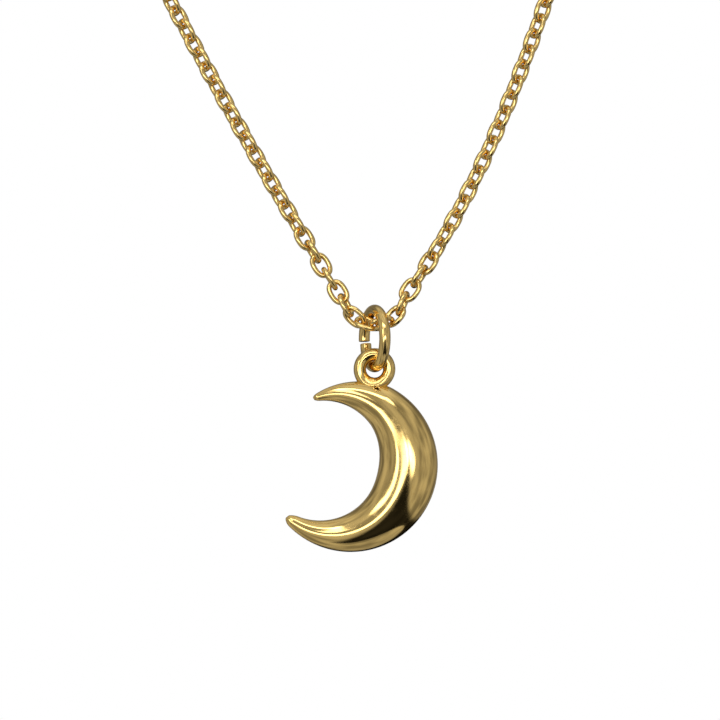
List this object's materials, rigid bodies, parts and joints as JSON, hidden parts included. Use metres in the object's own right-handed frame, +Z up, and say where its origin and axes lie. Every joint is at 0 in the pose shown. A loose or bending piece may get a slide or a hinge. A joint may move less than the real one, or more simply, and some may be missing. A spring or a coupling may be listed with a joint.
{
  "type": "pendant necklace",
  "caption": "Fine cable chain with a spring-ring clasp, carrying a puffed crescent moon pendant on a bail and jump ring.",
  "frame": {"origin": "on the axis of the horizontal display bar that the necklace hangs over, straight above the pendant", "axes": "+Z up, +X along the bar to the viewer's right, -Y towards the viewer"},
  "size_m": [0.0949, 0.0112, 0.1416],
  "materials": {
    "pendant_gold": "high-polish yellow gold",
    "chain_gold": "polished yellow gold wire links",
    "clasp_gold": "polished yellow gold clasp and rings",
    "spring_steel": "bright spring wire"
  },
  "bodies": {
    "chain_runs": {"chain_left_run": "chain_gold", "chain_right_run": "chain_gold"},
    "jump_ring": {"jump_ring": "pendant_gold"},
    "pendant": {"crescent_front_shell": "pendant_gold", "crescent_back_shell": "pendant_gold", "bail_ring": "pendant_gold"},
    "clasp": {"clasp_body": "clasp_gold", "clasp_spring": "spring_steel"},
    "clasp_bolt": {"clasp_bolt": "clasp_gold"},
    "catch_ring": {"catch_ring": "clasp_gold"},
    "end_ring": {"end_ring": "clasp_gold"},
    "ring_link_left": {"ring_link_left": "chain_gold"},
    "link_left_01": {"link_left_01": "chain_gold"},
    "link_left_02": {"link_left_02": "chain_gold"},
    "link_left_03": {"link_left_03": "chain_gold"},
    "link_left_04": {"link_left_04": "chain_gold"},
    "link_left_05": {"link_left_05": "chain_gold"},
    "link_left_06": {"link_left_06": "chain_gold"},
    "link_left_07": {"link_left_07": "chain_gold"},
    "link_left_08": {"link_left_08": "chain_gold"},
    "link_left_09": {"link_left_09": "chain_gold"},
    "link_left_10": {"link_left_10": "chain_gold"},
    "link_left_11": {"link_left_11": "chain_gold"},
    "link_left_12": {"link_left_12": "chain_gold"},
    "link_left_13": {"link_left_13": "chain_gold"},
    "link_left_14": {"link_left_14": "chain_gold"},
    "link_left_15": {"link_left_15": "chain_gold"},
    "link_left_16": {"link_left_16": "chain_gold"},
    "link_left_17": {"link_left_17": "chain_gold"},
    "link_left_18": {"link_left_18": "chain_gold"},
    "link_left_19": {"link_left_19": "chain_gold"},
    "link_left_20": {"link_left_20": "chain_gold"},
    "link_left_21": {"link_left_21": "chain_gold"},
    "link_left_22": {"link_left_22": "chain_gold"},
    "link_left_23": {"link_left_23": "chain_gold"},
    "ring_link_right": {"ring_link_right": "chain_gold"},
    "link_right_01": {"link_right_01": "chain_gold"},
    "link_right_02": {"link_right_02": "chain_gold"},
    "link_right_03": {"link_right_03": "chain_gold"},
    "link_right_04": {"link_right_04": "chain_gold"},
    "link_right_05": {"link_right_05": "chain_gold"},
    "link_right_06": {"link_right_06": "chain_gold"},
    "link_right_07": {"link_right_07": "chain_gold"},
    "link_right_08": {"link_right_08": "chain_gold"},
    "link_right_09": {"link_right_09": "chain_gold"},
    "link_right_10": {"link_right_10": "chain_gold"},
    "link_right_11": {"link_right_11": "chain_gold"},
    "link_right_12": {"link_right_12": "chain_gold"},
    "link_right_13": {"link_right_13": "chain_gold"},
    "link_right_14": {"link_right_14": "chain_gold"},
    "link_right_15": {"link_right_15": "chain_gold"},
    "link_right_16": {"link_right_16": "chain_gold"},
    "link_right_17": {"link_right_17": "chain_gold"},
    "link_right_18": {"link_right_18": "chain_gold"},
    "link_right_19": {"link_right_19": "chain_gold"},
    "link_right_20": {"link_right_20": "chain_gold"},
    "link_right_21": {"link_right_21": "chain_gold"},
    "link_right_22": {"link_right_22": "chain_gold"}
  },
  "joints": [
    {"name": "jump_ring_swing", "type": "hinge", "parent": "chain_runs", "child": "jump_ring", "pos_m": [0, -0.0034, -0.11765], "axis": [1, 0, 0], "range_deg": [-40, 40]},
    {"name": "pendant_swing", "type": "hinge", "parent": "jump_ring", "child": "pendant", "pos_m": [0, -0.0034, -0.12131], "axis": [0.3584, -0.9336, 0], "range_deg": [-35, 35]},
    {"name": "clasp_swing", "type": "hinge", "parent": "chain_runs", "child": "clasp", "pos_m": [-0.00906, 0.0034, -0.0663], "axis": [1, 0, 0], "range_deg": [-25, 25]},
    {"name": "clasp_bolt_slide", "type": "hinge", "parent": "clasp", "child": "clasp_bolt", "pos_m": [-0.00906, 0.0034, -0.0663], "axis": [0, -1, 0], "range_deg": [0, 58], "stiffness_Nm_per_rad": 0.000001, "springref_deg": -28.65, "deforming": ["clasp_spring"]},
    {"name": "catch_ring_turn", "type": "hinge", "parent": "chain_runs", "child": "catch_ring", "pos_m": [-0.01136, 0.0034, -0.0663], "axis": [0, 0, 1], "range_deg": [-20, 20]},
    {"name": "end_ring_turn", "type": "hinge", "parent": "chain_runs", "child": "end_ring", "pos_m": [-0.00449, 0.0034, -0.0663], "axis": [0, 0, 1], "range_deg": [-20, 20]},
    {"name": "ring_link_left_rock", "type": "hinge", "parent": "chain_runs", "child": "ring_link_left", "pos_m": [-0.00063, -0.0034, -0.11749], "axis": [-0.9703, 0, 0.2419], "range_deg": [-3, 3]},
    {"name": "link_left_01_rock", "type": "hinge", "parent": "chain_runs", "child": "link_left_01", "pos_m": [-0.00175, -0.0034, -0.1169], "axis": [-0.7431, 0, 0.6691], "range_deg": [-3, 3]},
    {"name": "link_left_02_rock", "type": "hinge", "parent": "chain_runs", "child": "link_left_02", "pos_m": [-0.00254, -0.0034, -0.11589], "axis": [-0.4695, 0, 0.8829], "range_deg": [-3, 3]},
    {"name": "link_left_03_rock", "type": "hinge", "parent": "chain_runs", "child": "link_left_03", "pos_m": [-0.00322, -0.0034, -0.11472], "axis": [-0.5348, 0, 0.845], "range_deg": [-3, 3]},
    {"name": "link_left_04_rock", "type": "hinge", "parent": "chain_runs", "child": "link_left_04", "pos_m": [-0.00397, -0.0034, -0.11353], "axis": [-0.5311, 0, 0.8473], "range_deg": [-12, 12]},
    {"name": "link_left_05_rock", "type": "hinge", "parent": "chain_runs", "child": "link_left_05", "pos_m": [-0.00472, -0.0034, -0.11233], "axis": [-0.5274, 0, 0.8496], "range_deg": [-12, 12]},
    {"name": "link_left_06_rock", "type": "hinge", "parent": "chain_runs", "child": "link_left_06", "pos_m": [-0.00546, -0.0034, -0.11114], "axis": [-0.5238, 0, 0.8518], "range_deg": [-12, 12]},
    {"name": "link_left_07_rock", "type": "hinge", "parent": "chain_runs", "child": "link_left_07", "pos_m": [-0.00619, -0.0034, -0.10994], "axis": [-0.5202, 0, 0.854], "range_deg": [-12, 12]},
    {"name": "link_left_08_rock", "type": "hinge", "parent": "chain_runs", "child": "link_left_08", "pos_m": [-0.00692, -0.0034, -0.10874], "axis": [-0.5167, 0, 0.8562], "range_deg": [-12, 12]},
    {"name": "link_left_09_rock", "type": "hinge", "parent": "chain_runs", "child": "link_left_09", "pos_m": [-0.00764, -0.0034, -0.10753], "axis": [-0.5131, 0, 0.8583], "range_deg": [-12, 12]},
    {"name": "link_left_10_rock", "type": "hinge", "parent": "chain_runs", "child": "link_left_10", "pos_m": [-0.00836, -0.0034, -0.10633], "axis": [-0.5097, 0, 0.8604], "range_deg": [-12, 12]},
    {"name": "link_left_11_rock", "type": "hinge", "parent": "chain_runs", "child": "link_left_11", "pos_m": [-0.00907, -0.0034, -0.10512], "axis": [-0.5062, 0, 0.8624], "range_deg": [-12, 12]},
    {"name": "link_left_12_rock", "type": "hinge", "parent": "chain_runs", "child": "link_left_12", "pos_m": [-0.00978, -0.0034, -0.1039], "axis": [-0.5028, 0, 0.8644], "range_deg": [-12, 12]},
    {"name": "link_left_13_rock", "type": "hinge", "parent": "chain_runs", "child": "link_left_13", "pos_m": [-0.01049, -0.0034, -0.10269], "axis": [-0.4995, 0, 0.8663], "range_deg": [-12, 12]},
    {"name": "link_left_14_rock", "type": "hinge", "parent": "chain_runs", "child": "link_left_14", "pos_m": [-0.01119, -0.0034, -0.10147], "axis": [-0.4962, 0, 0.8682], "range_deg": [-12, 12]},
    {"name": "link_left_15_rock", "type": "hinge", "parent": "chain_runs", "child": "link_left_15", "pos_m": [-0.01188, -0.0034, -0.10025], "axis": [-0.4929, 0, 0.8701], "range_deg": [-12, 12]},
    {"name": "link_left_16_rock", "type": "hinge", "parent": "chain_runs", "child": "link_left_16", "pos_m": [-0.01257, -0.0034, -0.09902], "axis": [-0.4896, 0, 0.8719], "range_deg": [-12, 12]},
    {"name": "link_left_17_rock", "type": "hinge", "parent": "chain_runs", "child": "link_left_17", "pos_m": [-0.01326, -0.0034, -0.0978], "axis": [-0.4864, 0, 0.8737], "range_deg": [-12, 12]},
    {"name": "link_left_18_rock", "type": "hinge", "parent": "chain_runs", "child": "link_left_18", "pos_m": [-0.01394, -0.0034, -0.09657], "axis": [-0.4833, 0, 0.8755], "range_deg": [-12, 12]},
    {"name": "link_left_19_rock", "type": "hinge", "parent": "chain_runs", "child": "link_left_19", "pos_m": [-0.01461, -0.0034, -0.09534], "axis": [-0.4801, 0, 0.8772], "range_deg": [-12, 12]},
    {"name": "link_left_20_rock", "type": "hinge", "parent": "chain_runs", "child": "link_left_20", "pos_m": [-0.01529, -0.0034, -0.0941], "axis": [-0.477, 0, 0.8789], "range_deg": [-12, 12]},
    {"name": "link_left_21_rock", "type": "hinge", "parent": "chain_runs", "child": "link_left_21", "pos_m": [-0.01595, -0.0034, -0.09287], "axis": [-0.4739, 0, 0.8806], "range_deg": [-12, 12]},
    {"name": "link_left_22_rock", "type": "hinge", "parent": "chain_runs", "child": "link_left_22", "pos_m": [-0.01662, -0.0034, -0.09163], "axis": [-0.4709, 0, 0.8822], "range_deg": [-12, 12]},
    {"name": "link_left_23_rock", "type": "hinge", "parent": "chain_runs", "child": "link_left_23", "pos_m": [-0.01728, -0.0034, -0.09039], "axis": [-0.4679, 0, 0.8838], "range_deg": [-12, 12]},
    {"name": "ring_link_right_rock", "type": "hinge", "parent": "chain_runs", "child": "ring_link_right", "pos_m": [0.00065, -0.0034, -0.11749], "axis": [0.9703, 0, 0.2419], "range_deg": [-3, 3]},
    {"name": "link_right_01_rock", "type": "hinge", "parent": "chain_runs", "child": "link_right_01", "pos_m": [0.00177, -0.0034, -0.11684], "axis": [0.6947, 0, 0.7193], "range_deg": [-3, 3]},
    {"name": "link_right_02_rock", "type": "hinge", "parent": "chain_runs", "child": "link_right_02", "pos_m": [0.00249, -0.0034, -0.11573], "axis": [0.3746, 0, 0.9272], "range_deg": [-3, 3]},
    {"name": "link_right_03_rock", "type": "hinge", "parent": "chain_runs", "child": "link_right_03", "pos_m": [0.00316, -0.0034, -0.11452], "axis": [0.5747, 0, 0.8184], "range_deg": [-3, 3]},
    {"name": "link_right_04_rock", "type": "hinge", "parent": "chain_runs", "child": "link_right_04", "pos_m": [0.00397, -0.0034, -0.11333], "axis": [0.5536, 0, 0.8328], "range_deg": [-12, 12]},
    {"name": "link_right_05_rock", "type": "hinge", "parent": "chain_runs", "child": "link_right_05", "pos_m": [0.00476, -0.0034, -0.11211], "axis": [0.5337, 0, 0.8457], "range_deg": [-12, 12]},
    {"name": "link_right_06_rock", "type": "hinge", "parent": "chain_runs", "child": "link_right_06", "pos_m": [0.00552, -0.0034, -0.11088], "axis": [0.5149, 0, 0.8572], "range_deg": [-12, 12]},
    {"name": "link_right_07_rock", "type": "hinge", "parent": "chain_runs", "child": "link_right_07", "pos_m": [0.00625, -0.0034, -0.10964], "axis": [0.4972, 0, 0.8676], "range_deg": [-12, 12]},
    {"name": "link_right_08_rock", "type": "hinge", "parent": "chain_runs", "child": "link_right_08", "pos_m": [0.00695, -0.0034, -0.10838], "axis": [0.4805, 0, 0.877], "range_deg": [-12, 12]},
    {"name": "link_right_09_rock", "type": "hinge", "parent": "chain_runs", "child": "link_right_09", "pos_m": [0.00764, -0.0034, -0.1071], "axis": [0.4647, 0, 0.8855], "range_deg": [-12, 12]},
    {"name": "link_right_10_rock", "type": "hinge", "parent": "chain_runs", "child": "link_right_10", "pos_m": [0.0083, -0.0034, -0.10582], "axis": [0.4497, 0, 0.8932], "range_deg": [-12, 12]},
    {"name": "link_right_11_rock", "type": "hinge", "parent": "chain_runs", "child": "link_right_11", "pos_m": [0.00894, -0.0034, -0.10452], "axis": [0.4356, 0, 0.9001], "range_deg": [-12, 12]},
    {"name": "link_right_12_rock", "type": "hinge", "parent": "chain_runs", "child": "link_right_12", "pos_m": [0.00956, -0.0034, -0.10322], "axis": [0.4223, 0, 0.9065], "range_deg": [-12, 12]},
    {"name": "link_right_13_rock", "type": "hinge", "parent": "chain_runs", "child": "link_right_13", "pos_m": [0.01016, -0.0034, -0.1019], "axis": [0.4097, 0, 0.9122], "range_deg": [-12, 12]},
    {"name": "link_right_14_rock", "type": "hinge", "parent": "chain_runs", "child": "link_right_14", "pos_m": [0.01074, -0.0034, -0.10058], "axis": [0.3977, 0, 0.9175], "range_deg": [-12, 12]},
    {"name": "link_right_15_rock", "type": "hinge", "parent": "chain_runs", "child": "link_right_15", "pos_m": [0.01131, -0.0034, -0.09925], "axis": [0.3864, 0, 0.9224], "range_deg": [-12, 12]},
    {"name": "link_right_16_rock", "type": "hinge", "parent": "chain_runs", "child": "link_right_16", "pos_m": [0.01186, -0.0034, -0.09792], "axis": [0.3756, 0, 0.9268], "range_deg": [-12, 12]},
    {"name": "link_right_17_rock", "type": "hinge", "parent": "chain_runs", "child": "link_right_17", "pos_m": [0.01239, -0.0034, -0.09657], "axis": [0.3653, 0, 0.9309], "range_deg": [-12, 12]},
    {"name": "link_right_18_rock", "type": "hinge", "parent": "chain_runs", "child": "link_right_18", "pos_m": [0.01292, -0.0034, -0.09523], "axis": [0.3556, 0, 0.9346], "range_deg": [-12, 12]},
    {"name": "link_right_19_rock", "type": "hinge", "parent": "chain_runs", "child": "link_right_19", "pos_m": [0.01342, -0.0034, -0.09387], "axis": [0.3464, 0, 0.9381], "range_deg": [-12, 12]},
    {"name": "link_right_20_rock", "type": "hinge", "parent": "chain_runs", "child": "link_right_20", "pos_m": [0.01392, -0.0034, -0.09251], "axis": [0.3375, 0, 0.9413], "range_deg": [-12, 12]},
    {"name": "link_right_21_rock", "type": "hinge", "parent": "chain_runs", "child": "link_right_21", "pos_m": [0.0144, -0.0034, -0.09115], "axis": [0.3291, 0, 0.9443], "range_deg": [-12, 12]},
    {"name": "link_right_22_rock", "type": "hinge", "parent": "chain_runs", "child": "link_right_22", "pos_m": [0.01487, -0.0034, -0.08979], "axis": [0.3211, 0, 0.947], "range_deg": [-12, 12]}
  ]
}
